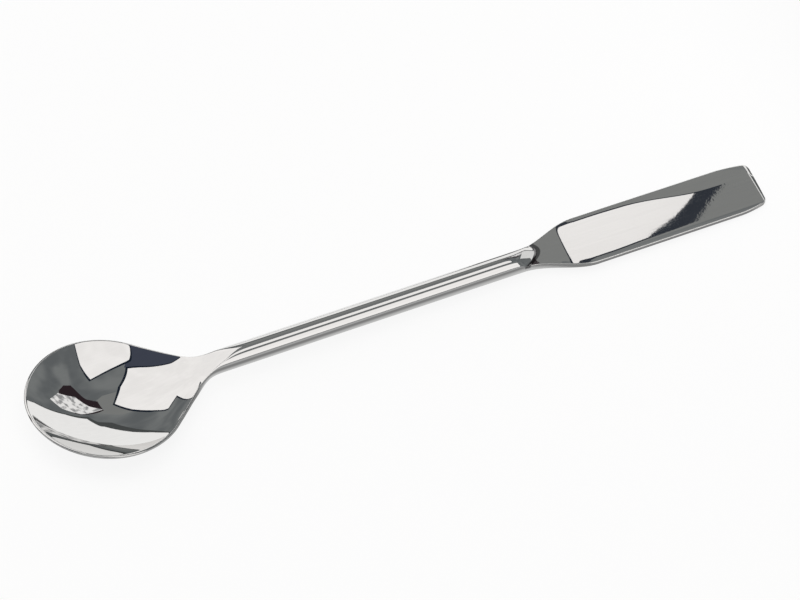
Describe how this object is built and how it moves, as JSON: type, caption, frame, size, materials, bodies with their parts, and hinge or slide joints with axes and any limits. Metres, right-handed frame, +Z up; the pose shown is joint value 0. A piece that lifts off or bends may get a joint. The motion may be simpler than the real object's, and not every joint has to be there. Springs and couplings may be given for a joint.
{
  "type": "lab spoon spatula",
  "caption": "Double-ended steel lab spatula: a round rod with a pressed egg-shaped spoon bowl at one end and a flat flared blade with a bevelled straight end at the other.",
  "frame": {"origin": "centre of the bounding box in X and Y, on the table plane at the bottom", "axes": "+X from the spoon to the blade, +Z up with the bowl open upward, symmetric about the XZ plane"},
  "size_m": [0.18, 0.0354, 0.0078],
  "materials": {
    "polished_steel": "polished"
  },
  "bodies": {
    "root": {"lab_spatula": "polished_steel"}
  },
  "joints": []
}
